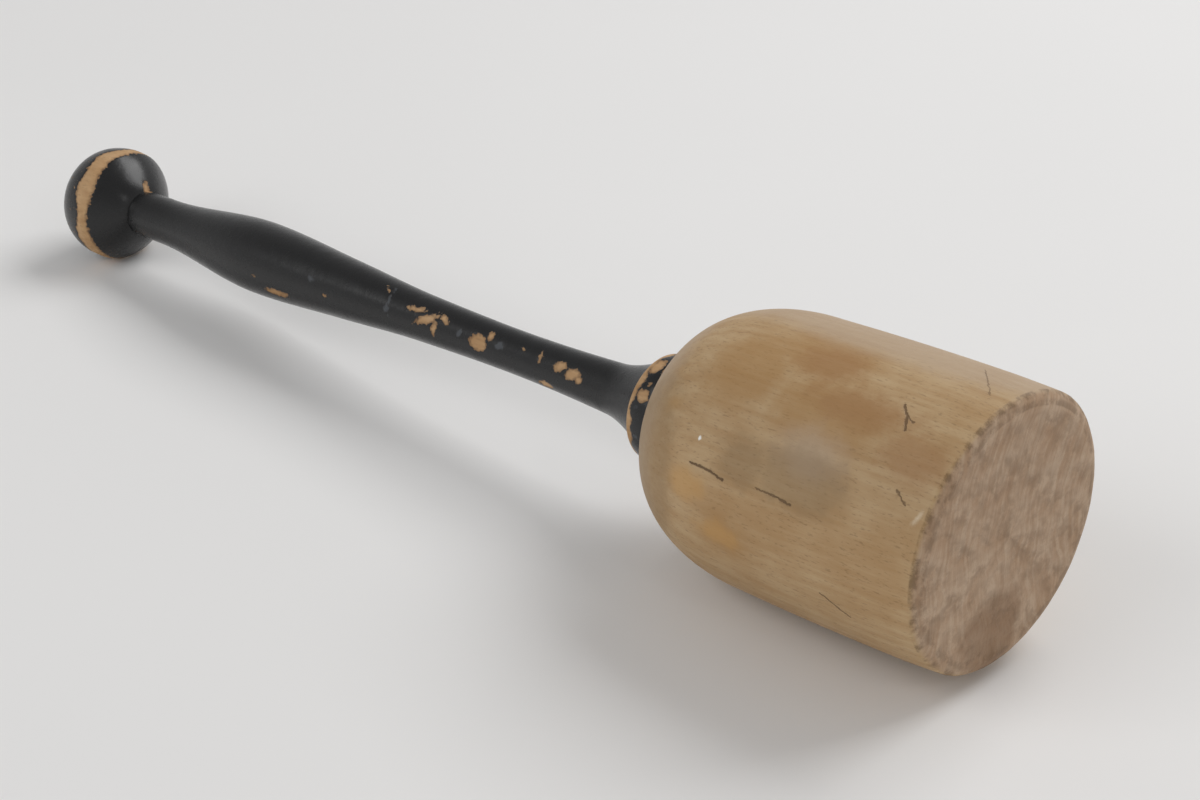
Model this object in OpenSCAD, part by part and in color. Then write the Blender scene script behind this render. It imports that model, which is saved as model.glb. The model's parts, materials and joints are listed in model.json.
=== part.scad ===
// Old kitchen pestle of turned wood, lying on a table as it comes to rest.
// A bare wooden head with a flat striking face carries a long painted handle.
// Millimetres, +Z up. The table is z = 0 and the origin is on it, under the
// middle of the object. The striking face looks along +X, the knob along -X.
// Each piece is turned about its own axis with the striking face at height 0,
// and lay_down() then lays the whole pestle on its shoulder and its knob.

/* [Head] */
// Diameter of the head at its widest place
head_d = 75; // [66:0.5:90]
// Length of the head, from the striking face to the collar's seat
head_l = 100.5; // [92:0.5:120]
// Distance from the striking face to the widest place of the side
belly_at = 28; // [15:1:45]
// Length of the nearly straight side, from the striking face to the shoulder
side_l = 65; // [52:1:80]
// Diameter where the side turns into the shoulder
shoulder_d = 73.8; // [62:0.2:75]
// Fullness of the shoulder: 2 is an ellipse, more is squarer
shoulder_fullness = 2.1; // [1.8:0.05:3]
// Diameter of the flat seat that the collar stands on
seat_d = 31.2; // [31:0.2:38]
// How far the worn rim reaches in over the striking face
rim_in = 5.4; // [2:0.2:9]
// How far the worn rim reaches back along the side
rim_back = 3; // [1:0.2:8]

/* [Blind joint] */
// Diameter of the tenon
tenon_d = 19; // [14:0.5:24]
// Length of the tenon inside the head
tenon_l = 50; // [40:1:64]
// Bevel round the tenon's end
tenon_bevel = 1; // [0.4:0.1:2]
// Bevel round the socket's mouth
mouth_bevel = 0.8; // [0.3:0.1:1.5]
// Glue line: the space between two glued faces
glue_line = 0.1; // [0.05:0.05:0.3]
// Depth of the socket that the tenon's end leaves free
socket_space = 2; // [1:0.5:5]
// Width of the saw cut before the wedge opens it
kerf_w = 1.6; // [1.2:0.1:2.4]
// Depth of the saw cut in the tenon
kerf_l = 27; // [24:1:36]
// Thickness of the wedge at the tenon's end
wedge_t = 4; // [3:0.2:6]
// Width of the wedge
wedge_w = 15; // [9:0.5:16]
// Length of the wedge inside the saw cut
wedge_l = 22; // [14:1:24]

/* [Collar] */
// Diameter of the collar at its widest place
collar_d = 30.6; // [28:0.2:31]
// Diameter of the collar where it stands on the head
collar_base_d = 28.8; // [27:0.2:30]
// Length of the collar
collar_l = 11.4; // [8:0.2:16]
// Radius of the collar's rounded front edge
collar_round = 1.6; // [0.6:0.1:2]

/* [Handle] */
// Diameter of the flared foot where it leaves the collar
foot_d = 24.8; // [18:0.2:25]
// Diameter at the throat, where the flare has run out
throat_d = 14.4; // [12.4:0.2:17]
// Diameter of the handle at its slimmest place
waist_d = 12.2; // [10:0.1:13]
// Diameter low on the swelling
rise_d = 13.6; // [13:0.1:15]
// Diameter high on the swelling
swell_d = 17.6; // [15.2:0.1:19]
// Diameter of the grip at its thickest place
grip_d = 21.8; // [19.5:0.1:28]
// Diameter of the neck below the knob
neck_d = 14.1; // [11:0.1:17]
// Length from the collar to the throat
flare_l = 16; // [10:1:24]
// Length from the throat to the slimmest place
shank_l = 37; // [25:1:60]
// Length from the slimmest place to the foot of the swelling
rise_l = 35; // [20:1:50]
// Length from there to the upper swelling
swell_l = 32; // [20:1:50]
// Length from the upper swelling to the thickest place
grip_l = 38; // [24:1:60]
// Length from the thickest place to the neck
taper_l = 45; // [30:1:70]
// Length of the straight neck
neck_l = 11; // [5:1:20]

/* [Knob] */
// Diameter of the knob at its widest ring
knob_d = 35; // [28:0.1:45]
// Length of the knob's front, from the neck to the widest ring
knob_front_l = 11; // [7:0.5:16]
// Fullness of the front: 1 is a cone, 2 is an ellipse
knob_front_fullness = 1.25; // [1.1:0.05:2]
// Length of the knob's back, from the widest ring to the end
knob_back_l = 16.5; // [10:0.5:24]
// Fullness of the back: 2 is a round dome, more is flatter
knob_back_fullness = 2.5; // [2:0.1:3.5]

/* [Hidden] */
$fn = 128;

// Steps along each curved stretch of an outline
arc_steps = 10;
shoulder_steps = 22;
line_steps = 7;
knob_steps = 16;

// Places along the axis, counted from the striking face
tenon_end = head_l - tenon_l;
socket_floor = tenon_end - socket_space;
collar_front = head_l + collar_l;
kerf_end = tenon_end + kerf_l;

// The wedge opens the saw cut to its own thickness and bends each half of the
// tenon's split end outwards by this angle, about the cut's closed end
spread = asin((wedge_t + 2 * glue_line - kerf_w) / 2 / kerf_l);

// Half the width of the opened saw cut at the place z along the axis
function kerf_half(z) = kerf_w / 2 / cos(spread) + (kerf_end - z) * tan(spread);

// The handle's line: places counted from the collar's front, and radii
stations = [
    [0, foot_d / 2],
    [flare_l, throat_d / 2],
    [flare_l + shank_l, waist_d / 2],
    [flare_l + shank_l + rise_l, rise_d / 2],
    [flare_l + shank_l + rise_l + swell_l, swell_d / 2],
    [flare_l + shank_l + rise_l + swell_l + grip_l, grip_d / 2],
    [flare_l + shank_l + rise_l + swell_l + grip_l + taper_l, neck_d / 2],
    [flare_l + shank_l + rise_l + swell_l + grip_l + taper_l + neck_l, neck_d / 2]
];
last = len(stations) - 1;
knob_start = collar_front + stations[last][0];
knob_ring = knob_start + knob_front_l;
knob_end = knob_ring + knob_back_l;

// Slope of the straight line from station i to the next one
function chord(i) = (stations[i + 1][1] - stations[i][1]) / (stations[i + 1][0] - stations[i][0]);

// Slope of the line at station i: level where it turns, and otherwise the
// harmonic mean of the two chords, so that the line never overshoots
function slope(i) =
    i == 0 ? (3 * chord(0) - slope(1)) / 2 :
    i == last ? 0 :
    let (before = chord(i - 1), after = chord(i))
    before * after <= 0 ? 0 : 2 * before * after / (before + after);

// Radius at the share t of the stretch from station i to the next one
function stretch_r(i, t) =
    let (run = stations[i + 1][0] - stations[i][0])
    stations[i][1] * (1 + 2 * t) * pow(1 - t, 2)
    + slope(i) * run * t * pow(1 - t, 2)
    + stations[i + 1][1] * t * t * (3 - 2 * t)
    - slope(i + 1) * run * t * t * (1 - t);

// Radius of the head's side, a flat arc with its crown at the belly
function side_r(z) =
    head_d / 2 - (head_d - shoulder_d) / 2 * pow((z - belly_at) / (side_l - belly_at), 2);

// Radius of the collar's side, a flat arc with its crown halfway up
function collar_r(z) =
    collar_d / 2 - (collar_d - collar_base_d) / 2 * pow(2 * z / collar_l - 1, 2);

// Outline of the head from the striking face to the collar's seat, [radius, height]
rim_r = side_r(rim_back);
head_outline = concat(
    [for (i = [0 : arc_steps]) let (a = 90 * i / arc_steps)
        [rim_r - rim_in * (1 - sin(a)), rim_back * (1 - cos(a))]],
    [for (i = [1 : arc_steps]) let (z = rim_back + (side_l - rim_back) * i / arc_steps)
        [side_r(z), z]],
    [for (i = [1 : shoulder_steps]) let (a = 90 * i / shoulder_steps)
        [seat_d / 2 + (shoulder_d - seat_d) / 2 * pow(max(cos(a), 0), 2 / shoulder_fullness),
         side_l + (head_l - side_l) * pow(sin(a), 2 / shoulder_fullness)]]
);

// Outline of the collar, from its base to the inner edge of its front
collar_side_l = collar_l - collar_round;
collar_outline = concat(
    [for (i = [0 : arc_steps]) let (z = collar_side_l * i / arc_steps)
        [collar_r(z), head_l + z]],
    [for (i = [1 : arc_steps]) let (a = 90 * i / arc_steps)
        [collar_r(collar_side_l) - collar_round * (1 - cos(a)),
         head_l + collar_side_l + collar_round * sin(a)]]
);

// Outline of the handle's line, from the collar's front to the knob
line_outline = [for (i = [0 : last - 1]) for (k = [0 : line_steps - 1]) let (t = k / line_steps)
    [stretch_r(i, t), collar_front + stations[i][0] + t * (stations[i + 1][0] - stations[i][0])]];

// Outline of the knob, from the neck over the widest ring to the end on the axis
knob_outline = concat(
    [for (i = [0 : knob_steps]) let (a = 90 * i / knob_steps)
        [neck_d / 2 + (knob_d - neck_d) / 2 * pow(sin(a), 2 / knob_front_fullness),
         knob_ring - knob_front_l * pow(max(cos(a), 0), 2 / knob_front_fullness)]],
    [for (i = [1 : knob_steps]) let (a = 90 * i / knob_steps)
        [knob_d / 2 * pow(max(cos(a), 0), 2 / knob_back_fullness),
         knob_ring + knob_back_l * pow(sin(a), 2 / knob_back_fullness)]]
);

// How far an outline reaches below the axis when the axis leans by the angle a
function reach(outline, a) = max([for (p = outline) p[0] * cos(a) + p[1] * sin(a)]);

// The lean at which the head and the knob reach equally low, by halving
function lying_angle(low, high, n) =
    let (mid = (low + high) / 2)
    n == 0 ? mid :
    reach(head_outline, mid) > reach(knob_outline, mid) ?
        lying_angle(mid, high, n - 1) : lying_angle(low, mid, n - 1);
lean = lying_angle(0, 30, 40);
axis_height = reach(head_outline, lean);
front_x = max([for (p = head_outline) p[0] * sin(lean) - p[1] * cos(lean)]);
back_x = min([for (p = knob_outline) -p[0] * sin(lean) - p[1] * cos(lean)]);

// Lays a piece down on the table, turned about the axis that it was drawn on
module lay_down() {
    translate([-(front_x + back_x) / 2, 0, axis_height])
        rotate([0, -(90 + lean), 0])
            children();
}

// One half of the tenon's split end as the wedge bends it outwards, larger all
// round by grow and longer by past; the other half is its mirror image
module bent_half(grow, past) {
    tip = -kerf_l - past;
    translate([0, 0, kerf_end])
        rotate([0, -spread, 0])
            intersection() {
                rotate_extrude()
                    polygon([
                        [0, tip], [tenon_d / 2 + grow - tenon_bevel, tip],
                        [tenon_d / 2 + grow, tip + tenon_bevel], [tenon_d / 2 + grow, 0], [0, 0]
                    ]);
                translate([kerf_w / 2 - grow, -tenon_d, tip - 1])
                    cube([tenon_d, 2 * tenon_d, 2 - tip]);
            }
}

// The blind socket for the tenon: bevelled at its mouth, and undercut at its
// bottom on two sides, where the spread halves of the tenon lock
module socket() {
    translate([0, 0, socket_floor])
        cylinder(d = tenon_d + 2 * glue_line, h = head_l - socket_floor + 1);
    translate([0, 0, head_l - mouth_bevel])
        cylinder(d1 = tenon_d + 2 * glue_line, d2 = tenon_d + 2 * glue_line + 4 * mouth_bevel,
                 h = 2 * mouth_bevel);
    for (side = [0, 180])
        rotate([0, 0, side])
            bent_half(glue_line, socket_space);
}

// Head: the bare barrel with its domed shoulder, worn rim and blind socket
module head() {
    color([0.66, 0.54, 0.37])
        lay_down()
            difference() {
                rotate_extrude()
                    polygon(concat([[0, 0]], head_outline, [[0, head_l]]));
                socket();
            }
}

// Handle: split tenon, collar, flared foot, swelling grip, neck and knob in one turning
module handle() {
    color([0.07, 0.07, 0.08])
        lay_down() {
            rotate_extrude()
                polygon(concat([[0, kerf_end], [tenon_d / 2, kerf_end], [tenon_d / 2, head_l]],
                               collar_outline, line_outline, knob_outline));
            for (side = [0, 180])
                rotate([0, 0, side])
                    bent_half(0, 0);
        }
}

// Fox wedge: stands on the socket's floor and holds the saw cut open
module fox_wedge() {
    wedge_tip = tenon_end + wedge_l;
    color([0.72, 0.58, 0.38])
        lay_down()
            rotate([90, 0, 0])
                linear_extrude(height = wedge_w, center = true)
                    polygon([
                        [glue_line - kerf_half(socket_floor), socket_floor],
                        [kerf_half(socket_floor) - glue_line, socket_floor],
                        [kerf_half(wedge_tip) - glue_line, wedge_tip],
                        [glue_line - kerf_half(wedge_tip), wedge_tip]
                    ]);
}

head();
handle();
fox_wedge();
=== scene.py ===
"""Looks of an old kitchen pestle of turned wood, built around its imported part.

The pestle lies on a pale table, on its shoulder and its knob. Its head is bare
wood with a worn striking face. Its handle is black gloss paint over wood, and
chips show the wood. A place on the pestle is given as a turner would give it:
how far along the axis from the striking face, in millimetres, and how far
round from the top towards the viewer, in degrees. Meshes are in metres.
"""

from __future__ import annotations

import json
import logging
import math
from dataclasses import dataclass, field
from enum import Enum

import bmesh
import bpy
import numpy as np
from mathutils import Matrix, Vector

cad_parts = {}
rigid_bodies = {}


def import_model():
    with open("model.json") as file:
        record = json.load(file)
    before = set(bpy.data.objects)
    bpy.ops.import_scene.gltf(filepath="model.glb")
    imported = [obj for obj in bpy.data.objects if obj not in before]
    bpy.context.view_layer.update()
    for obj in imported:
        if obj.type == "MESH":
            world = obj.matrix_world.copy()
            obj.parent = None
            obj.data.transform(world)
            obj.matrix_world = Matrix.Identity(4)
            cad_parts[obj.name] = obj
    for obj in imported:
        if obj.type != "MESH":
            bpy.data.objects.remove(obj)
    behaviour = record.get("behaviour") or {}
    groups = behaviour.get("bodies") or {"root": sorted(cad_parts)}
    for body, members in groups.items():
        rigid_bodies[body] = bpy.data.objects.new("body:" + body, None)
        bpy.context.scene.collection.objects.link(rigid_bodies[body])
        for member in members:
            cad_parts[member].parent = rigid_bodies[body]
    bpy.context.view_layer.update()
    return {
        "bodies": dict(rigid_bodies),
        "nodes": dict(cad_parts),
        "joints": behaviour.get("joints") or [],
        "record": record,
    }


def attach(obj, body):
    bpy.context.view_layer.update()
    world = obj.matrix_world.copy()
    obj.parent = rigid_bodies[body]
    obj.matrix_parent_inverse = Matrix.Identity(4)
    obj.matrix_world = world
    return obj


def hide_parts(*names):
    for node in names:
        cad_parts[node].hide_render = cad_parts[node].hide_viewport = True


MM = 0.001
# Edges shorter than this, in metres, are left over from a cut and are closed up
SLIVER = 0.004 * MM
BODY = "root"
log = logging.getLogger("pestle")

Outline = list[tuple[float, float]]
Colour = tuple[float, float, float]


class Slot(Enum):
    """The record's material slots."""

    HEAD_WOOD = "head_wood"
    HANDLE_PAINT = "handle_paint"
    WEDGE_WOOD = "wedge_wood"


class Cut(Enum):
    """What one solid does to another."""

    TAKE_AWAY = "DIFFERENCE"
    JOIN = "UNION"


def shown(red: float, green: float, blue: float) -> Colour:
    """Turns a colour as a screen shows it into the light that is mixed.

    Args:
        red: Red from 0 to 255.
        green: Green from 0 to 255.
        blue: Blue from 0 to 255.

    Returns:
        The same colour as linear light from 0 to 1.
    """
    parts = np.array([red, green, blue]) / 255
    light = np.where(parts <= 0.04045, parts / 12.92, ((parts + 0.055) / 1.055) ** 2.4)
    return tuple(float(part) for part in light)


# Where the pestle lies


@dataclass(frozen=True)
class Lying:
    """How the pestle lies on the table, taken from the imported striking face."""

    lean: float
    face_x: float
    face_z: float

    @classmethod
    def from_record(cls, record: dict) -> Lying:
        """Reads the lean and the place of the striking face from its mount.

        Args:
            record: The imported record.

        Returns:
            The way the pestle lies, in radians and millimetres.
        """
        face = next(m for m in record["mounts"] if m["name"] == "striking_face")
        x, _, z = face["pos_m"]
        lean = math.atan2(face["axis"][2], face["axis"][0])
        return cls(lean, x / MM, z / MM)

    @property
    def tip(self) -> float:
        """The turn about Y that lays an upright piece down, in radians."""
        return -(math.pi / 2 + self.lean)

    @property
    def matrix(self) -> Matrix:
        """The move from the upright piece in millimetres to the table in metres."""
        place = Matrix.Translation((self.face_x * MM, 0, self.face_z * MM))
        return place @ Matrix.Rotation(self.tip, 4, "Y") @ Matrix.Scale(MM, 4)

    def own(self, row: np.ndarray) -> np.ndarray:
        """Turns points on the table into the pestle's own places.

        Args:
            row: Points in metres, one in each row.

        Returns:
            How far up, across and along each point is, in millimetres.
        """
        back = np.array(self.matrix.inverted())
        return row @ back[:3, :3].T + back[:3, 3]


# Node trees


class Term:
    """A number or vector that a node gives, ready for plain arithmetic."""

    def __init__(self, nodes: Nodes, socket: bpy.types.NodeSocket) -> None:
        """Remembers the socket and the tree that it is in."""
        self.nodes = nodes
        self.socket = socket

    def __add__(self, other: Feed) -> Term:
        """Adds."""
        return self.nodes.math("ADD", self, other)

    def __sub__(self, other: Feed) -> Term:
        """Takes away."""
        return self.nodes.math("SUBTRACT", self, other)

    def __rsub__(self, other: Feed) -> Term:
        """Is taken away from a number."""
        return self.nodes.math("SUBTRACT", other, self)

    def __mul__(self, other: Feed) -> Term:
        """Multiplies."""
        return self.nodes.math("MULTIPLY", self, other)

    def __truediv__(self, other: Feed) -> Term:
        """Divides."""
        return self.nodes.math("DIVIDE", self, other)

    __radd__ = __add__
    __rmul__ = __mul__

    def rise(self, low: Feed, high: Feed) -> Term:
        """Goes smoothly from 0 at low to 1 at high, or the other way round.

        Args:
            low: The value that gives 0.
            high: The value that gives 1.

        Returns:
            The share, from 0 to 1.
        """
        feeds = {0: self, 1: low, 2: high, 3: 0.0, 4: 1.0}
        return self.nodes.term("ShaderNodeMapRange", feeds, interpolation_type="SMOOTHSTEP")


Feed = object


class Nodes:
    """Adds nodes to one tree and joins them."""

    def __init__(self, tree: bpy.types.NodeTree) -> None:
        """Empties the tree."""
        tree.nodes.clear()
        self.tree = tree

    def add(self, kind: str, feeds: dict[int | str, Feed] | None = None,
            **options: object) -> bpy.types.Node:
        """Adds one node.

        Args:
            kind: Blender's name for the node.
            feeds: What goes into the inputs, by number or name.
            options: The node's own settings.

        Returns:
            The new node.
        """
        node = self.tree.nodes.new(kind)
        for name, value in options.items():
            setattr(node, name, value)
        for key, value in (feeds or {}).items():
            self.feed(node.inputs[key], value)
        return node

    def feed(self, socket: bpy.types.NodeSocket, value: Feed) -> None:
        """Links a term to an input, or sets the input's own value.

        Args:
            socket: The input.
            value: A term, a number, a vector or a colour.
        """
        if isinstance(value, Term):
            self.tree.links.new(value.socket, socket)
        elif socket.type == "RGBA" and len(value) == 3:
            socket.default_value = (*value, 1.0)
        else:
            socket.default_value = value

    def term(self, kind: str, feeds: dict[int | str, Feed] | None = None, out: int | str = 0,
             **options: object) -> Term:
        """Adds one node and gives one of its outputs.

        Args:
            kind: Blender's name for the node.
            feeds: What goes into the inputs, by number or name.
            out: The output, by number or name.
            options: The node's own settings.

        Returns:
            The output as a term.
        """
        return Term(self, self.add(kind, feeds, **options).outputs[out])

    def math(self, operation: str, first: Feed, second: Feed = 0.0) -> Term:
        """Does one step of arithmetic.

        Args:
            operation: Blender's name for the step.
            first: The first number.
            second: The second number.

        Returns:
            The result.
        """
        return self.term("ShaderNodeMath", {0: first, 1: second}, operation=operation)

    def vector(self, x: Feed, y: Feed, z: Feed) -> Term:
        """Joins three numbers into a vector."""
        return self.term("ShaderNodeCombineXYZ", {0: x, 1: y, 2: z})

    def split(self, vector: Term) -> list[Term]:
        """Takes a vector apart into its three numbers."""
        node = self.add("ShaderNodeSeparateXYZ", {0: vector})
        return [Term(self, output) for output in node.outputs]

    def noise(self, vector: Term, scale: Feed, detail: float = 2.0, rough: float = 0.5) -> Term:
        """Gives soft random values round a half.

        Args:
            vector: The place.
            scale: How many lumps fit in one unit.
            detail: How many finer layers there are.
            rough: How strong the finer layers are.

        Returns:
            The value at the place.
        """
        feeds = {"Vector": vector, "Scale": scale, "Detail": detail, "Roughness": rough}
        return self.term("ShaderNodeTexNoise", feeds)

    def mix(self, share: Feed, first: Feed, second: Feed, blend: str = "MIX") -> Term:
        """Mixes two colours.

        Args:
            share: How much of the second colour there is.
            first: The first colour.
            second: The second colour.
            blend: Blender's name for the way of mixing.

        Returns:
            The mixed colour.
        """
        options = {"data_type": "RGBA", "blend_type": blend, "clamp_factor": True}
        return self.term("ShaderNodeMix", {0: share, 6: first, 7: second}, 2, **options)

    def mark(self, name: str) -> Term:
        """Reads a number that the mesh carries at its vertices."""
        return self.term("ShaderNodeAttribute", {}, "Fac", attribute_name=name)


class Spot:
    """Where a material is on the pestle, as terms in its node tree."""

    def __init__(self, nodes: Nodes, lying: Lying) -> None:
        """Turns object coordinates into the pestle's own millimetres.

        Args:
            nodes: The material's nodes.
            lying: How the pestle lies.
        """
        face = Vector((lying.face_x, 0, lying.face_z))
        face.rotate(Matrix.Rotation(-lying.tip, 3, "Y"))
        feeds = {
            "Vector": nodes.term("ShaderNodeTexCoord", {}, "Object"),
            "Location": tuple(-face),
            "Rotation": (0.0, -lying.tip, 0.0),
            "Scale": (1 / MM, 1 / MM, 1 / MM),
        }
        self.own = nodes.term("ShaderNodeMapping", feeds)
        self.up, self.across, self.along = nodes.split(self.own)
        squares = self.up * self.up + self.across * self.across
        self.radius = nodes.math("SQRT", squares)
        self.turn = nodes.math("ARCTAN2", 0 - self.across, self.up)


# Turning


@dataclass(frozen=True)
class Wear:
    """How use has worn the striking end: slanted, and uneven round the rim."""

    slant_up: float = 0.0
    slant_across: float = 0.0
    reach: float = 20.0
    depth: float = 0.0
    lump: float = 9.0


class Lathe:
    """A Geometry Nodes tree that turns an outline round the axis and lays it down."""

    SIZES = ("Tip", "Face X", "Face Height", "Slant Up", "Slant Across", "Reach", "Depth", "Lump")

    def __init__(self, lying: Lying) -> None:
        """Builds the tree.

        Args:
            lying: How the pestle lies.
        """
        self.lying = lying
        self.tree = bpy.data.node_groups.new("lathe", "GeometryNodeTree")
        sockets = self.tree.interface
        sockets.new_socket("Outline", in_out="INPUT", socket_type="NodeSocketGeometry")
        sockets.new_socket("Turns", in_out="INPUT", socket_type="NodeSocketInt")
        for name in self.SIZES:
            sockets.new_socket(name, in_out="INPUT", socket_type="NodeSocketFloat")
        sockets.new_socket("Finish", in_out="INPUT", socket_type="NodeSocketMaterial")
        sockets.new_socket("Piece", in_out="OUTPUT", socket_type="NodeSocketGeometry")
        self._join(Nodes(self.tree))

    def _join(self, nodes: Nodes) -> None:
        """Joins the tree's nodes.

        Args:
            nodes: The tree's nodes.
        """
        given = nodes.add("NodeGroupInput").outputs
        take = {name: Term(nodes, given[name]) for name in ("Outline", "Turns", "Finish", *self.SIZES)}
        outline = take["Outline"]
        columns = take["Turns"] + 1
        rows = nodes.term("GeometryNodeAttributeDomainSize", {0: outline}, "Point Count", component="MESH")
        grid = nodes.term("GeometryNodeMeshGrid", {"Vertices X": rows, "Vertices Y": columns})
        index = nodes.term("GeometryNodeInputIndex")
        row = nodes.math("FLOOR", (index + 0.5) / columns)
        column = index - row * columns
        feeds = {"Geometry": outline, "Value": nodes.term("GeometryNodeInputPosition"), "Index": row}
        point = nodes.term("GeometryNodeSampleIndex", feeds, data_type="FLOAT_VECTOR", domain="POINT")
        radius, _, along = nodes.split(point)
        angle = column * math.tau / take["Turns"]
        up = radius * nodes.math("COSINE", angle)
        across = 0 - radius * nodes.math("SINE", angle)
        fade = along.rise(take["Reach"], 0.0)
        slant = (up * take["Slant Up"] + across * take["Slant Across"]) * fade
        place = nodes.vector(up, across, along)
        near = along.rise(14.0, 1.0)
        lumps = nodes.noise(place, nodes.math("DIVIDE", 1.0, take["Lump"]), 3.0)
        loss = take["Depth"] * near * lumps
        keep = 1 - loss / nodes.math("MAXIMUM", radius, 8.0)
        worn = nodes.vector(up * keep, across * keep, along + slant + loss * 0.5)
        feeds = {0: worn, "Angle": take["Tip"]}
        laid = nodes.term("ShaderNodeVectorRotate", feeds, rotation_type="Y_AXIS")
        feeds = {0: laid, "Scale": MM}
        small = nodes.term("ShaderNodeVectorMath", feeds, operation="SCALE")
        corner = nodes.vector(take["Face X"], 0.0, take["Face Height"])
        corner = nodes.term("ShaderNodeVectorMath", {0: corner, "Scale": MM}, operation="SCALE")
        final = nodes.term("ShaderNodeVectorMath", {0: small, 1: corner}, operation="ADD")
        shape = nodes.term("GeometryNodeSetPosition", {"Geometry": grid, "Position": final})
        shape = nodes.term("GeometryNodeMergeByDistance", {"Geometry": shape, "Distance": 0.002 * MM})
        shape = nodes.term("GeometryNodeSetShadeSmooth", {"Geometry": shape})
        shape = nodes.term("GeometryNodeRealizeInstances", {"Geometry": shape})
        feeds = {"Geometry": shape, "Material": take["Finish"]}
        shape = nodes.term("GeometryNodeSetMaterial", feeds)
        nodes.add("NodeGroupOutput", {0: shape})

    def turn(self, name: str, outline: Outline, turns: int, finish: bpy.types.Material | None,
             wear: Wear = Wear()) -> bpy.types.Object:
        """Turns a closed piece from its outline.

        Args:
            name: The piece's name.
            outline: Radii and places along the axis, from the axis back to the axis.
            turns: How many steps go round.
            finish: The piece's material.
            wear: How the striking end is worn.

        Returns:
            The piece, lying on the table.
        """
        mesh = bpy.data.meshes.new(name)
        edges = [(i, i + 1) for i in range(len(outline) - 1)]
        mesh.from_pydata([(radius, 0.0, along) for radius, along in outline], edges, [])
        piece = bpy.data.objects.new(name, mesh)
        bpy.context.collection.objects.link(piece)
        modifier = piece.modifiers.new("lathe", "NODES")
        modifier.node_group = self.tree
        sizes = (self.lying.tip, self.lying.face_x, self.lying.face_z, wear.slant_up,
                 wear.slant_across, wear.reach, wear.depth, wear.lump)
        values = {"Turns": turns, "Finish": finish, **dict(zip(self.SIZES, sizes))}
        for socket, value in values.items():
            modifier[self.tree.interface.items_tree[socket].identifier] = value
        settle(piece)
        return piece


def settle(piece: bpy.types.Object) -> None:
    """Makes a plain mesh of a piece and its modifiers.

    Args:
        piece: The piece.
    """
    shape = piece.evaluated_get(bpy.context.evaluated_depsgraph_get())
    mesh = bpy.data.meshes.new_from_object(shape)
    mesh.name = piece.name
    piece.modifiers.clear()
    old = piece.data
    piece.data = mesh
    bpy.data.meshes.remove(old)


def combine(piece: bpy.types.Object, tool: bpy.types.Object, how: Cut) -> None:
    """Cuts one solid with another, or joins them, and throws the tool away.

    Args:
        piece: The solid that stays.
        tool: The other solid.
        how: What is done.
    """
    modifier = piece.modifiers.new("cut", "BOOLEAN")
    modifier.object = tool
    modifier.operation = how.value
    modifier.solver = "MANIFOLD"
    settle(piece)
    shape = bmesh.new()
    shape.from_mesh(piece.data)
    bmesh.ops.remove_doubles(shape, verts=shape.verts, dist=SLIVER)
    bmesh.ops.dissolve_degenerate(shape, edges=shape.edges, dist=SLIVER)
    shape.to_mesh(piece.data)
    shape.free()
    mesh = tool.data
    bpy.data.objects.remove(tool)
    bpy.data.meshes.remove(mesh)


@dataclass(frozen=True)
class Joint:
    """The blind joint: a split tenon that a fox wedge spreads. Sizes in millimetres."""

    seat_at: float = 100.5
    tenon_diameter: float = 19.0
    tenon_length: float = 50.0
    tenon_bevel: float = 1.0
    mouth_bevel: float = 0.8
    glue_line: float = 0.1
    free_depth: float = 2.0
    cut_width: float = 1.6
    cut_length: float = 27.0
    wedge_thickness: float = 4.0
    steps: int = 20

    @property
    def cut_end(self) -> float:
        """Where the saw cut ends, along the axis."""
        return self.seat_at - self.tenon_length + self.cut_length

    @property
    def floor(self) -> float:
        """Where the socket ends, along the axis."""
        return self.seat_at - self.tenon_length - self.free_depth

    @property
    def spread(self) -> float:
        """How far each half of the tenon bends outwards, in radians."""
        opening = self.wedge_thickness + 2 * self.glue_line - self.cut_width
        return math.asin(opening / 2 / self.cut_length)

    def half(self, lying: Lying, side: int, grow: float, past: float) -> bpy.types.Object:
        """Makes one half of the split tenon's end.

        Args:
            lying: How the pestle lies.
            side: 1 for the upper half, -1 for the lower one.
            grow: How much larger it is all round.
            past: How much longer it is.

        Returns:
            The half as a closed solid.
        """
        full = self.tenon_diameter / 2 + grow
        flat = self.cut_width / 2 - grow
        tip = -self.cut_length - past
        shape = bmesh.new()
        rings = []
        for radius, along in ((full - self.tenon_bevel, tip), (full, tip + self.tenon_bevel), (full, 0.0)):
            reach = math.acos(flat / radius)
            turns = [reach * (2 * i / self.steps - 1) for i in range(self.steps + 1)]
            points = [(radius * math.cos(a), radius * math.sin(a), along) for a in turns]
            rings.append([shape.verts.new(point) for point in points])
        for low, high in zip(rings, rings[1:]):
            for i in range(self.steps + 1):
                j = (i + 1) % (self.steps + 1)
                shape.faces.new((low[i], low[j], high[j], high[i]))
        shape.faces.new(rings[0][::-1])
        shape.faces.new(rings[-1])
        bend = Matrix.Translation((0, 0, self.cut_end)) @ Matrix.Rotation(-self.spread, 4, "Y")
        about = Matrix.Rotation(0 if side > 0 else math.pi, 4, "Z")
        shape.transform(lying.matrix @ about @ bend)
        mesh = bpy.data.meshes.new("tenon_half")
        shape.to_mesh(mesh)
        shape.free()
        piece = bpy.data.objects.new("tenon_half", mesh)
        bpy.context.collection.objects.link(piece)
        return piece

    def bore(self, lathe: Lathe) -> list[bpy.types.Object]:
        """Makes the solids that are taken out of the head.

        Args:
            lathe: The lathe.

        Returns:
            The straight socket and its two undercut sides.
        """
        wall = self.tenon_diameter / 2 + self.glue_line
        bevel = self.mouth_bevel
        outline = [(0.0, self.floor), (wall, self.floor), (wall, self.seat_at - bevel),
                   (wall + 2 * bevel, self.seat_at + bevel), (0.0, self.seat_at + bevel)]
        straight = lathe.turn("socket", outline, 96, None)
        sides = [self.half(lathe.lying, side, self.glue_line, self.free_depth) for side in (1, -1)]
        return [straight, *sides]


# Marks on the surface


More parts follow.
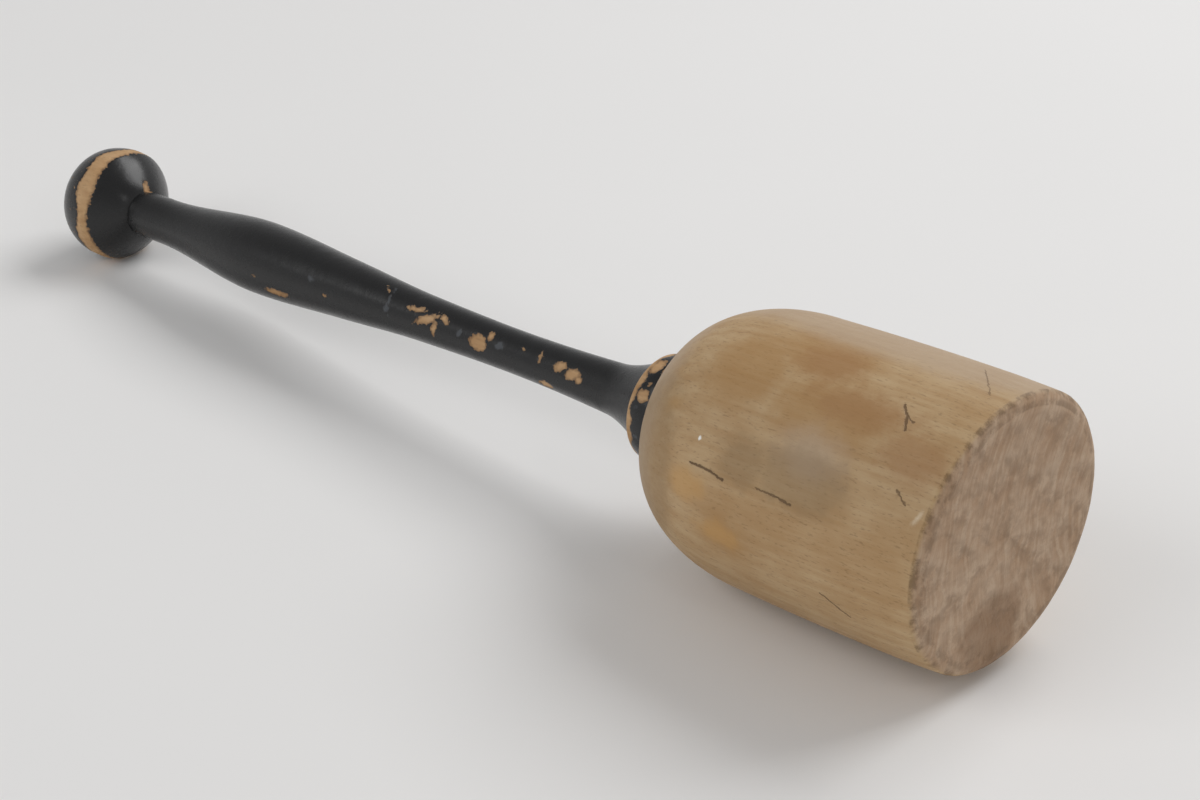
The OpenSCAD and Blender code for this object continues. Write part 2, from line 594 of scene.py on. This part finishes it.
class Survey:
    """Where each vertex of a finished mesh is on the pestle."""

    def __init__(self, piece: bpy.types.Object, lying: Lying) -> None:
        """Measures the mesh.

        Args:
            piece: The piece.
            lying: How the pestle lies.
        """
        self.mesh = piece.data
        count = len(self.mesh.vertices)
        flat = np.empty(count * 3)
        self.mesh.vertices.foreach_get("co", flat)
        self.row = flat.reshape(-1, 3)
        self.up, self.across, self.along = lying.own(self.row).T
        self.radius = np.hypot(self.up, self.across)
        self.turn = np.degrees(np.arctan2(-self.across, self.up))
        normals = np.empty(count * 3, dtype=np.float32)
        self.mesh.vertex_normals.foreach_get("vector", normals)
        self.normals = normals.reshape(-1, 3).astype(float)
        axis = np.array(lying.matrix.to_3x3() @ Vector((0, 0, 1))) / MM
        self.facing = -self.normals @ axis

    def keep(self, name: str, values: np.ndarray) -> None:
        """Stores one number for each vertex.

        Args:
            name: The name that the material reads.
            values: The numbers.
        """
        layer = self.mesh.attributes.new(name, "FLOAT", "POINT")
        layer.data.foreach_set("value", values.astype(np.float32))

    def sink(self, depth: np.ndarray) -> None:
        """Presses the surface in.

        Args:
            depth: How deep at each vertex, in millimetres.
        """
        moved = self.row - self.normals * (depth * MM)[:, None]
        self.mesh.vertices.foreach_set("co", moved.ravel())
        self.mesh.update()


@dataclass(frozen=True)
class Patch:
    """An oval place: its middle, its half lengths along and round, and its slope."""

    along: float
    turn: float
    half_along: float
    half_round: float
    slope: float = 0.0

    def depth(self, survey: Survey) -> np.ndarray:
        """Says how deep inside the oval each vertex is.

        Args:
            survey: The measured mesh.

        Returns:
            Millimetres, less than nothing outside.
        """
        x = survey.along - self.along
        y = np.radians((survey.turn - self.turn + 180) % 360 - 180) * survey.radius
        c, s = math.cos(math.radians(self.slope)), math.sin(math.radians(self.slope))
        reach = np.hypot((x * c + y * s) / self.half_along, (y * c - x * s) / self.half_round)
        return (1 - reach) * min(self.half_along, self.half_round)


def deepest(patches: list[Patch], survey: Survey, limit: float = 3.0) -> np.ndarray:
    """Joins patches into one field.

    Args:
        patches: The patches.
        survey: The measured mesh.
        limit: The largest value that is kept either way.

    Returns:
        How deep inside the nearest patch each vertex is, in millimetres.
    """
    depths = [patch.depth(survey) for patch in patches]
    return np.clip(np.max(depths, axis=0), -limit, limit)


@dataclass(frozen=True)
class Stain:
    """A change of colour that covers some patches with ragged edges."""

    name: str
    colour: Colour
    strength: float
    soft: float
    ragged: float
    patches: tuple[Patch, ...]


@dataclass(frozen=True)
class Line:
    """A thin scratch or crack between two places on the surface."""

    start: tuple[float, float]
    end: tuple[float, float]
    half_width: float = 0.15
    strength: float = 0.8

    def cover(self, nodes: Nodes, spot: Spot, wobble: Term) -> Term:
        """Says how much of the line there is at a place.

        Args:
            nodes: The material's nodes.
            spot: The place.
            wobble: A random number that bends the line.

        Returns:
            The share, from 0 to 1.
        """
        along, turn = self.end[0] - self.start[0], math.radians(self.end[1] - self.start[1])
        x = spot.along - self.start[0]
        y = (spot.turn - math.radians(self.start[1])) * spot.radius
        run_y = spot.radius * turn
        square = run_y * run_y + along * along
        share = (x * along + y * run_y) / square
        share = nodes.math("MINIMUM", nodes.math("MAXIMUM", share, 0.0), 1.0)
        off_x = x - share * along + wobble
        off_y = y - share * run_y + wobble
        off = nodes.math("SQRT", off_x * off_x + off_y * off_y)
        return off.rise(self.half_width * 1.6, self.half_width * 0.6) * self.strength


# Finishes


@dataclass(frozen=True)
class Wood:
    """Bare wood: two tones, flecks, and rings about a pith beside the piece."""

    name: str
    pale: Colour = shown(190, 162, 124)
    deep: Colour = shown(172, 138, 96)
    fleck: Colour = shown(112, 84, 54)
    fleck_share: float = 0.4
    pith_up: float = -10.0
    pith_across: float = 90.0
    ring: float = 3.4

    def depth(self, nodes: Nodes, spot: Spot) -> Term:
        """Measures how far the place is from the pith, along wandering grain."""
        slow = nodes.vector(spot.up, spot.across, spot.along * 0.25)
        wander = (nodes.noise(slow, 0.06, 2.0) - 0.5) * 9.0
        up = spot.up - self.pith_up + wander
        across = spot.across - self.pith_across + wander
        return nodes.math("SQRT", up * up + across * across)

    def grain(self, nodes: Nodes, spot: Spot) -> Term:
        """Colours the wood.

        Args:
            nodes: The material's nodes.
            spot: The place.

        Returns:
            The wood's colour before stains.
        """
        depth = self.depth(nodes, spot)
        rings = nodes.noise(nodes.vector(depth, 0.0, spot.along * 0.01), 1 / self.ring, 3.0)
        long = nodes.vector(spot.up, spot.across, spot.along * 0.08)
        streak = nodes.noise(long, 0.55, 4.0, 0.6)
        blotch = nodes.noise(spot.own, 0.07, 3.0)
        tone = (rings * 0.35 + streak * 0.35 + blotch * 0.3).rise(0.36, 0.64)
        colour = nodes.mix(tone, self.pale, self.deep)
        short = nodes.vector(spot.up, spot.across, spot.along * 0.24)
        flecks = nodes.noise(short, 2.1, 2.0, 0.6).rise(0.56, 0.72)
        return nodes.mix(flecks * self.fleck_share, colour, self.fleck)

    def material(self, lying: Lying) -> bpy.types.Material:
        """Makes the plain material, as for a hidden piece.

        Args:
            lying: How the pestle lies.

        Returns:
            The material.
        """
        material = bpy.data.materials.new(self.name)
        material.use_nodes = True
        nodes = Nodes(material.node_tree)
        spot = Spot(nodes, lying)
        colour = self.grain(nodes, spot)
        fibre = nodes.noise(nodes.vector(spot.up, spot.across, spot.along * 0.1), 3.0, 2.0)
        bump = nodes.term("ShaderNodeBump", {"Strength": 0.5, "Distance": 0.1 * MM, "Height": fibre})
        finish(nodes, {"Base Color": colour, "Roughness": 0.65, "Normal": bump})
        return material


def finish(nodes: Nodes, feeds: dict[str, Feed]) -> None:
    """Ends a material with its surface.

    Args:
        nodes: The material's nodes.
        feeds: What the surface takes.
    """
    surface = nodes.term("ShaderNodeBsdfPrincipled", feeds)
    nodes.add("ShaderNodeOutputMaterial", {"Surface": surface})


STAINS = (
    Stain("stain_warm", shown(166, 126, 76), 0.55, 4.0, 9.0, (
        Patch(66, 28, 11, 12), Patch(60, 96, 6, 5), Patch(50, 10, 14, 9), Patch(38, 35, 16, 10))),
    Stain("stain_red", shown(158, 116, 74), 0.55, 3.0, 8.0, (
        Patch(30, 29, 14, 5), Patch(10, 40, 9, 6), Patch(46, 14, 9, 6))),
    Stain("stain_orange", shown(193, 150, 92), 0.6, 2.0, 4.0, (
        Patch(61, 96, 6, 3), Patch(83, 51, 2.2, 1.6), Patch(72, 80, 6, 4))),
    # The first grey patch, long and along the top of the head, is a painted reflection of the upper edge;
    # the other two are plain grey patches.
    Stain("stain_grey_and_top_sheen", shown(186, 164, 140), 0.65, 4.0, 6.0, (
        Patch(40, -24, 60, 16), Patch(96, 60, 8, 60), Patch(37, 52, 9, 6))),
    Stain("stain_dull", shown(136, 112, 80), 0.45, 3.0, 7.0, (
        Patch(88, 80, 10, 24), Patch(38, 62, 14, 8), Patch(55, 64, 8, 6))),
)

SCRATCHES = (
    Line((71.2, 70.9), (66.2, 70.8), 0.28, 0.9),
    Line((66.2, 70.8), (60.3, 72.8), 0.3, 0.9),
    Line((50.0, 70.9), (44.0, 71.0), 0.18, 0.7),
    Line((44.0, 71.0), (38.8, 72.1), 0.26, 0.8),
    Line((21.1, 21.4), (18.6, 25.5), 0.3, 0.8),
    Line((18.6, 25.5), (16.8, 31.1), 0.34, 0.8),
    Line((19.2, 25.0), (15.9, 27.2), 0.2, 0.7),
    Line((11.3, 53.0), (7.9, 57.0), 0.24, 0.7),
    Line((29.6, 104.4), (21.7, 111.7), 0.22, 0.7),
    Line((15.3, -16.4), (5.5, 2.0), 0.14, 0.5),
)


@dataclass(frozen=True)
class HeadWood:
    """The head's bare wood, stained and dirty, with grey end grain on its face, a painted highlight on the
    rim, painted shade low on the face and a painted reflection along the top.
    """

    wood: Wood = Wood("head_wood")
    face_pale: Colour = shown(192, 166, 140)
    face_deep: Colour = shown(170, 138, 108)
    dirt: Colour = shown(96, 72, 46)
    # The colour of the painted highlight streak on the rim.
    pale: Colour = shown(222, 206, 180)
    fleck: Colour = shown(244, 242, 236)

    def material(self, lying: Lying) -> bpy.types.Material:
        """Makes the material.

        Args:
            lying: How the pestle lies.

        Returns:
            The material.
        """
        material = bpy.data.materials.new(self.wood.name)
        material.use_nodes = True
        nodes = Nodes(material.node_tree)
        spot = Spot(nodes, lying)
        ragged = nodes.noise(spot.own, 0.22, 4.0, 0.6) - 0.5
        colour = self.wood.grain(nodes, spot)
        for stain in STAINS:
            share = (nodes.mark(stain.name) + ragged * stain.ragged).rise(-stain.soft, stain.soft)
            colour = nodes.mix(share * stain.strength, colour, stain.colour)
        facing = nodes.mark("facing")
        colour = nodes.mix(facing.rise(0.55, 0.96), colour, self.face(nodes, spot))
        colour = nodes.mix(self.rim_dirt(nodes, spot, facing), colour, self.dirt)
        wobble = (nodes.noise(spot.own, 0.9, 2.0) - 0.5) * 0.9
        lines = None
        for line in SCRATCHES:
            cover = line.cover(nodes, spot, wobble)
            lines = cover if lines is None else nodes.math("MAXIMUM", lines, cover)
        colour = nodes.mix(lines, colour, self.dirt)
        white = (nodes.mark("white_fleck") + ragged * 1.2).rise(0.0, 0.25)
        colour = nodes.mix(white, colour, self.fleck)
        # A painted highlight: a pale streak on the rim, between the top and the viewer's side, where the
        # bevel catches the light.
        streak = (nodes.mark("painted_highlight_streak") + ragged * 3.0).rise(0.0, 1.2)
        colour = nodes.mix(streak * 0.7, colour, self.pale)
        bump = self.bump(nodes, spot, lines)
        rough = nodes.noise(spot.own, 0.15, 2.0) * 0.16 + 0.5
        finish(nodes, {"Base Color": colour, "Roughness": rough, "Normal": bump, "Specular IOR Level": 0.35})
        return material

    def face(self, nodes: Nodes, spot: Spot) -> Term:
        """Colours the end grain of the striking face.

        Args:
            nodes: The material's nodes.
            spot: The place.

        Returns:
            The colour.
        """
        depth = self.wood.depth(nodes, spot)
        rings = nodes.noise(nodes.vector(depth, spot.up * 0.05, 0.0), 0.85, 3.0, 0.65)
        blotch = nodes.noise(spot.own, 0.1, 4.0, 0.6)
        colour = nodes.mix((rings * 0.45 + blotch * 0.55).rise(0.36, 0.64), self.face_pale, self.face_deep)
        # Painted shade: the lower part of the striking face, nearest the table, is darkened.
        low_shade = (nodes.mark("face_painted_shade") + (blotch - 0.5) * 14.0).rise(-2.0, 5.0)
        colour = nodes.mix(low_shade * 0.55, colour, shown(132, 100, 70))
        pores = nodes.noise(spot.own, 2.6, 2.0).rise(0.62, 0.76)
        return nodes.mix(pores * 0.3, colour, self.dirt)

    def rim_dirt(self, nodes: Nodes, spot: Spot, facing: Term) -> Term:
        """Says how dirty the worn rim is.

        Args:
            nodes: The material's nodes.
            spot: The place.
            facing: How much the surface faces as the striking face does.

        Returns:
            The share of dirt.
        """
        patchy = nodes.noise(spot.own, 0.28, 4.0, 0.65)
        band = facing.rise(0.12, 0.5) * facing.rise(0.995, 0.85)
        line = facing.rise(0.93, 0.985) * facing.rise(0.9999, 0.997)
        return band * patchy.rise(0.4, 0.62) * 0.6 + line * patchy.rise(0.35, 0.6) * 0.45

    def bump(self, nodes: Nodes, spot: Spot, lines: Term) -> Term:
        """Makes the fine relief of the wood.

        Args:
            nodes: The material's nodes.
            spot: The place.
            lines: How much of a scratch there is.

        Returns:
            The bent normal.
        """
        fibre = nodes.noise(nodes.vector(spot.up, spot.across, spot.along * 0.2), 1.8, 3.0, 0.6)
        dents = nodes.noise(spot.own, 0.35, 3.0)
        height = fibre * 0.09 + dents * 0.25 - lines * 0.35
        return nodes.term("ShaderNodeBump", {"Strength": 0.8, "Distance": MM, "Height": height})


@dataclass(frozen=True)
class GlossPaint:
    """Black gloss paint that has chipped down to the wood."""

    name: str = "handle_paint"
    paint: Colour = (0.011, 0.011, 0.0115)
    scuff: Colour = shown(88, 92, 98)
    wood: Wood = Wood("bare", shown(196, 160, 118), shown(168, 128, 84), fleck_share=0.3, pith_across=30.0)
    edge: Colour = shown(92, 62, 36)

    def material(self, lying: Lying) -> bpy.types.Material:
        """Makes the material.

        Args:
            lying: How the pestle lies.

        Returns:
            The material.
        """
        material = bpy.data.materials.new(self.name)
        material.use_nodes = True
        nodes = Nodes(material.node_tree)
        spot = Spot(nodes, lying)
        ragged = nodes.noise(spot.own, 0.75, 4.0, 0.62) - 0.5
        depth = nodes.mark("bare") + ragged * 2.4
        bare = depth.rise(-0.08, 0.1)
        wood = self.wood.grain(nodes, spot)
        wood = nodes.mix(depth.rise(0.9, 0.0) * 0.6, wood, self.edge)
        scuffed = (nodes.mark("scuff") + ragged * 3.0).rise(-0.2, 0.6)
        paint = nodes.mix(scuffed * 0.55, self.paint, self.scuff)
        colour = nodes.mix(bare, paint, wood)
        wavy = nodes.noise(spot.own, 0.3, 3.0)
        rough = wavy * 0.14 + 0.2 + scuffed * 0.25
        rough = rough + bare * 0.35
        height = wavy * 0.12 - bare * 0.14
        bump = nodes.term("ShaderNodeBump", {"Strength": 0.7, "Distance": MM, "Height": height})
        finish(nodes, {"Base Color": colour, "Roughness": rough, "Normal": bump, "Specular IOR Level": 0.45})
        return material


# The pieces


@dataclass
class Head:
    """The bare turned head, with its worn striking end and its blind socket. Millimetres."""

    diameter: float = 75.0
    length: float = 100.5
    belly_at: float = 28.0
    side_length: float = 65.0
    shoulder_diameter: float = 73.8
    fullness: float = 2.1
    seat_diameter: float = 31.2
    rim_in: float = 4.3
    rim_back: float = 2.2
    turns: int = 384
    wear: Wear = field(default_factory=lambda: Wear(-0.0473, -0.0272, 20.0, 0.5, 10.0))
    finish: HeadWood = field(default_factory=HeadWood)

    def side_radius(self, along: float) -> float:
        """Gives the radius of the side, a flat arc with its crown at the belly."""
        share = (along - self.belly_at) / (self.side_length - self.belly_at)
        return self.diameter / 2 - (self.diameter - self.shoulder_diameter) / 2 * share ** 2

    def outline(self) -> Outline:
        """Draws the head from the middle of its face to the middle of its seat.

        Returns:
            Radii and places along the axis.
        """
        rim = self.side_radius(self.rim_back)
        flat = rim - self.rim_in
        seat, shoulder = self.seat_diameter / 2, self.shoulder_diameter / 2
        points = [(flat * i / 32, 0.0) for i in range(32)]
        for i in range(19):
            a = math.pi / 2 * i / 18
            points.append((rim - self.rim_in * (1 - math.sin(a)), self.rim_back * (1 - math.cos(a))))
        for i in range(1, 91):
            along = self.rim_back + (self.side_length - self.rim_back) * i / 90
            points.append((self.side_radius(along), along))
        for i in range(1, 73):
            a = math.pi / 2 * i / 72
            wide = max(math.cos(a), 0.0) ** (2 / self.fullness)
            high = math.sin(a) ** (2 / self.fullness)
            points.append((seat + (shoulder - seat) * wide,
                           self.side_length + (self.length - self.side_length) * high))
        points += [(seat * (1 - i / 7), self.length) for i in range(1, 8)]
        return points

    def build(self, lathe: Lathe, joint: Joint) -> bpy.types.Object:
        """Turns the head, bores its socket and dresses it.

        Args:
            lathe: The lathe.
            joint: The blind joint.

        Returns:
            The finished head.
        """
        material = self.finish.material(lathe.lying)
        piece = lathe.turn("turned_head", self.outline(), self.turns, material, self.wear)
        for tool in joint.bore(lathe):
            combine(piece, tool, Cut.TAKE_AWAY)
        survey = Survey(piece, lathe.lying)
        survey.keep("facing", survey.facing)
        for stain in STAINS:
            survey.keep(stain.name, deepest(list(stain.patches), survey, 12.0))
        survey.keep("white_fleck", deepest([Patch(69.9, 60.6, 0.75, 1.1)], survey))
        # Where the painted highlight streak lies on the rim.
        survey.keep("painted_highlight_streak", deepest([Patch(3.6, 59.4, 4.2, 1.0, 60.0)], survey))
        # Where the painted shade on the striking face lies: round a place below its middle.
        low = np.hypot(survey.up + 26, survey.across + 6)
        survey.keep("face_painted_shade", np.clip(14 - low, -12, 12))
        piece.data.set_sharp_from_angle(angle=math.radians(35))
        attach(piece, BODY)
        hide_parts("head")
        log.info("%s: %d faces", piece.name, len(piece.data.polygons))
        return piece


CHIPS = (
    Patch(254, 109, 4.8, 1.3), Patch(201, 44, 1.6, 0.9), Patch(198, 41, 2.2, 0.9, 20),
    Patch(194.6, 57, 4.6, 1.3, 24), Patch(188.5, 40, 2.8, 1.0, -24), Patch(191.3, 70, 1.1, 2.2),
    Patch(174.3, 67, 3.4, 2.5), Patch(170.5, 38, 1.1, 1.4, 30), Patch(158, 41, 0.7, 0.5),
    Patch(151.2, 46, 0.7, 2.1, 8), Patch(143.5, 51, 2.3, 1.4, 24), Patch(138.4, 58, 3.0, 1.7, 18),
    Patch(135.8, 66, 1.5, 1.0), Patch(148.5, 116, 2.6, 1.3), Patch(263, 89, 0.9, 0.4),
    Patch(234, 82.5, 0.8, 0.6), Patch(212, 24, 1.8, 0.35, -30), Patch(326, -15, 1.8, 1.2),
    Patch(107, 51, 2.0, 1.9), Patch(106.8, 39, 0.7, 0.6), Patch(108.4, 15, 1.9, 3.0),
    Patch(104.0, 20, 1.6, 2.2), Patch(230, -120, 3.8, 1.5), Patch(182, 188, 3.4, 1.6),
    Patch(149, -84, 2.6, 1.2), Patch(268, 168, 2.2, 1.1), Patch(205, -70, 1.4, 0.8),
)

SCUFFS = (
    Patch(210, 40, 0.5, 3.6, 10), Patch(210, 65, 1.2, 1.1), Patch(181.7, 61, 1.0, 1.2),
    Patch(166.5, 56, 1.6, 1.2), Patch(108.4, 64, 0.5, 0.5), Patch(107.9, 95, 0.8, 0.6),
    Patch(240, 60, 1.4, 0.8), Patch(196, -96, 2.2, 1.0), Patch(259, 200, 3.0, 1.2),
)


@dataclass
class Handle:
    """The painted handle: tenon, collar, foot, shank, grip, neck and knob. Millimetres."""

    collar_diameter: float = 30.6
    collar_base: float = 28.8
    collar_length: float = 11.4
    collar_round: float = 1.6
    stations: tuple[tuple[float, float], ...] = (
        (0.0, 24.8), (16.0, 14.4), (53.0, 12.2), (88.0, 13.6),
        (120.0, 17.6), (158.0, 21.8), (203.0, 14.1), (214.0, 14.1))
    knob_diameter: float = 35.0
    knob_front: float = 11.0
    knob_front_fullness: float = 1.25
    knob_back: float = 16.5
    knob_back_fullness: float = 2.5
    turns: int = 160
    finish: GlossPaint = field(default_factory=GlossPaint)

    def slopes(self) -> list[float]:
        """Finds the slope of the handle's line at each station.

        Returns:
            Slopes that never let the line overshoot.
        """
        at = self.stations
        chords = [(b[1] - a[1]) / 2 / (b[0] - a[0]) for a, b in zip(at, at[1:])]
        slopes = [0.0] * len(at)
        for i in range(1, len(at) - 1):
            before, after = chords[i - 1], chords[i]
            if before * after > 0:
                slopes[i] = 2 * before * after / (before + after)
        slopes[0] = (3 * chords[0] - slopes[1]) / 2
        return slopes

    def line(self, start: float, step: float) -> Outline:
        """Draws the line from the collar to the knob.

        Args:
            start: Where the collar's front is, along the axis.
            step: How far apart the points are.

        Returns:
            Radii and places along the axis.
        """
        slopes = self.slopes()
        points = []
        for i, (a, b) in enumerate(zip(self.stations, self.stations[1:])):
            run = b[0] - a[0]
            count = max(2, round(run / step))
            for k in range(count):
                t = k / count
                radius = a[1] / 2 * (1 + 2 * t) * (1 - t) ** 2 + slopes[i] * run * t * (1 - t) ** 2
                radius += b[1] / 2 * t * t * (3 - 2 * t) - slopes[i + 1] * run * t * t * (1 - t)
                points.append((radius, start + a[0] + t * run))
        return points

    def collar(self, seat: float) -> Outline:
        """Draws the collar from its base to the inner edge of its front.

        Args:
            seat: Where the collar stands, along the axis.

        Returns:
            Radii and places along the axis.
        """
        def radius(high: float) -> float:
            crown = 2 * high / self.collar_length - 1
            return self.collar_diameter / 2 - (self.collar_diameter - self.collar_base) / 2 * crown ** 2

        side = self.collar_length - self.collar_round
        points = [(radius(side * i / 20), seat + side * i / 20) for i in range(21)]
        for i in range(1, 11):
            a = math.pi / 2 * i / 10
            points.append((radius(side) - self.collar_round * (1 - math.cos(a)),
                           seat + side + self.collar_round * math.sin(a)))
        return points

    def knob(self, start: float) -> Outline:
        """Draws the knob from the neck over its widest ring to its end.

        Args:
            start: Where the neck ends, along the axis.

        Returns:
            Radii and places along the axis.
        """
        neck, wide = self.stations[-1][1] / 2, self.knob_diameter / 2
        ring = start + self.knob_front
        points = []
        for i in range(41):
            a = math.pi / 2 * i / 40
            points.append((neck + (wide - neck) * math.sin(a) ** (2 / self.knob_front_fullness),
                           ring - self.knob_front * max(math.cos(a), 0.0) ** (2 / self.knob_front_fullness)))
        for i in range(1, 49):
            a = math.pi / 2 * i / 48
            points.append((wide * max(math.cos(a), 0.0) ** (2 / self.knob_back_fullness),
                           ring + self.knob_back * math.sin(a) ** (2 / self.knob_back_fullness)))
        points[-1] = (0.0, points[-1][1])
        return points

    def outline(self, joint: Joint) -> Outline:
        """Draws the handle from the end of the saw cut to the end of the knob.

        Args:
            joint: The blind joint.

        Returns:
            Radii and places along the axis.
        """
        tenon = joint.tenon_diameter / 2
        seat = joint.seat_at
        points = [(0.0, joint.cut_end), (tenon / 2, joint.cut_end)]
        points += [(tenon, joint.cut_end + (seat - joint.cut_end) * i / 8) for i in range(9)]
        front = seat + self.collar_length
        points += [(tenon + (self.collar_base / 2 - tenon) * i / 5, seat) for i in range(1, 5)]
        points += self.collar(seat) + self.line(front, 0.6)
        return points + self.knob(front + self.stations[-1][0])

    def bare_field(self, survey: Survey) -> np.ndarray:
        """Finds where the paint is gone.

        Args:
            survey: The measured mesh.

        Returns:
            How deep inside a bare place each vertex is, in millimetres.
        """
        chips = deepest(list(CHIPS), survey)
        s, turn = survey.along, survey.turn
        edge = 109.4 + 0.5 * np.sin(np.radians(turn * 7)) + 0.35 * np.sin(np.radians(turn * 17 + 40))
        corner = np.minimum(s - edge, 113.0 - s)
        corner = np.where(survey.radius > 12.7, corner, -3.0)
        front = 335.6 - 1.4 * np.cos(np.radians(turn - 70)) + 0.3 * np.sin(np.radians(turn * 5))
        back = 339.4 + 1.2 * np.sin(np.radians(turn * 3 + 20)) + 0.6 * np.sin(np.radians(turn * 8))
        ring = np.minimum(s - front, back - s)
        dome = np.where(s > back, -0.35, -3.0)
        return np.clip(np.max([chips, corner, ring, dome], axis=0), -3, 3)

    def build(self, lathe: Lathe, joint: Joint) -> bpy.types.Object:
        """Turns the handle, splits its tenon and dresses it.

        Args:
            lathe: The lathe.
            joint: The blind joint.

        Returns:
            The finished handle.
        """
        material = self.finish.material(lathe.lying)
        piece = lathe.turn("painted_handle", self.outline(joint), self.turns, material)
        for side in (1, -1):
            combine(piece, joint.half(lathe.lying, side, 0.0, 0.0), Cut.JOIN)
        survey = Survey(piece, lathe.lying)
        bare = self.bare_field(survey)
        survey.keep("bare", bare)
        survey.keep("scuff", deepest(list(SCUFFS), survey))
        survey.sink(np.clip(bare, 0.0, 0.6) / 0.6 * 0.15)
        piece.data.set_sharp_from_angle(angle=math.radians(35))
        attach(piece, BODY)
        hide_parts("handle")
        log.info("%s: %d faces", piece.name, len(piece.data.polygons))
        return piece


@dataclass
class FoxWedge:
    """The hidden hardwood wedge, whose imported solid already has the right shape."""

    node: str = "fox_wedge"
    finish: Wood = field(default_factory=lambda: Wood("wedge_wood", shown(206, 176, 132),
                                                      shown(184, 148, 102), pith_across=24.0, ring=1.6))

    def dress(self, frame: dict, lying: Lying) -> None:
        """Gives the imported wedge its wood.

        Args:
            frame: The loaded frame.
            lying: How the pestle lies.
        """
        material = self.finish.material(lying)
        piece = frame["nodes"][self.node]
        for slot in piece.material_slots:
            slot.material = material
        log.info("%s: keeps its packed shape", self.node)


# The table, the lamps and the camera


@dataclass(frozen=True)
class Lamp:
    """A soft square lamp that looks at a place on the table. Metres and watts."""

    name: str
    place: tuple[float, float, float]
    target: tuple[float, float, float]
    width: float
    height: float
    power: float

    def hang(self) -> None:
        """Hangs the lamp."""
        light = bpy.data.lights.new(self.name, "AREA")
        light.shape = "RECTANGLE"
        light.size = self.width
        light.size_y = self.height
        light.energy = self.power
        lamp = bpy.data.objects.new(self.name, light)
        lamp.location = self.place
        away = Vector(self.target) - Vector(self.place)
        lamp.rotation_euler = away.to_track_quat("-Z", "Y").to_euler()
        bpy.context.collection.objects.link(lamp)


@dataclass
class Studio:
    """The pale table, the soft light and the camera at the photograph's angle."""

    table: Colour = shown(240, 239, 238)
    table_size: float = 14.0
    horizon: float = 0.62
    overhead: float = 0.3
    camera_place: tuple[float, float, float] = (0.48129, -0.48336, 0.41228)
    camera_pitch: float = 59.453
    camera_heading: float = 42.277
    lens: float = 84.0
    lamps: tuple[Lamp, ...] = (
        Lamp("key", (0.35, 1.15, 1.35), (0.05, 0.0, 0.0), 1.3, 1.0, 17.0),
        Lamp("fill", (-0.5, -1.3, 1.2), (0.0, 0.0, 0.0), 1.2, 1.0, 8.0),
        Lamp("sparkle", (0.9, -0.3, 0.75), (-0.15, 0.0, 0.03), 0.06, 0.06, 0.25),
    )

    def lay_table(self) -> None:
        """Lays the pale table."""
        half = self.table_size / 2
        mesh = bpy.data.meshes.new("table")
        mesh.from_pydata([(-half, -half, 0), (half, -half, 0), (half, half, 0), (-half, half, 0)],
                         [], [(0, 1, 2, 3)])
        table = bpy.data.objects.new("table", mesh)
        bpy.context.collection.objects.link(table)
        material = bpy.data.materials.new("table")
        material.use_nodes = True
        nodes = Nodes(material.node_tree)
        place = nodes.term("ShaderNodeTexCoord", {}, "Object")
        uneven = nodes.noise(place, 3.0, 3.0)
        colour = nodes.mix(uneven.rise(0.3, 0.7) * 0.5, self.table, shown(236, 235, 234))
        finish(nodes, {"Base Color": colour, "Roughness": 0.7, "Specular IOR Level": 0.2})
        mesh.materials.append(material)

    def light(self) -> None:
        """Hangs the lamps and fills the room with soft light."""
        for lamp in self.lamps:
            lamp.hang()
        world = bpy.data.worlds.new("room")
        bpy.context.scene.world = world
        world.use_nodes = True
        nodes = Nodes(world.node_tree)
        ray = nodes.term("ShaderNodeTexCoord", {}, "Generated")
        _, _, height = nodes.split(ray)
        level = height.rise(0.0, 0.75) * (self.overhead - self.horizon) + self.horizon
        room = nodes.term("ShaderNodeBackground", {"Color": (1.0, 1.0, 1.0), "Strength": level})
        nodes.add("ShaderNodeOutputWorld", {"Surface": room})

    def set_camera(self) -> None:
        """Sets the camera where the photograph was taken from."""
        lens = bpy.data.cameras.new("camera")
        lens.lens = self.lens
        lens.sensor_width = 36.0
        lens.clip_start = 0.01
        camera = bpy.data.objects.new("camera", lens)
        camera.location = self.camera_place
        camera.rotation_euler = (math.radians(self.camera_pitch), 0.0, math.radians(self.camera_heading))
        bpy.context.collection.objects.link(camera)
        bpy.context.scene.camera = camera

    def build(self) -> None:
        """Sets up the whole studio."""
        self.lay_table()
        self.light()
        self.set_camera()
        bpy.context.scene.view_settings.view_transform = "Standard"
        log.info("studio: %d lamps", len(self.lamps))


def main() -> None:
    """Builds the pestle and its studio, piece by piece."""
    logging.basicConfig(level=logging.INFO, format="%(name)s: %(message)s")
    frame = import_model()
    lying = Lying.from_record(frame["record"])
    lathe = Lathe(lying)
    joint = Joint()
    Head().build(lathe, joint)
    Handle().build(lathe, joint)
    FoxWedge().dress(frame, lying)
    Studio().build()


if __name__ == "__main__":
    main()
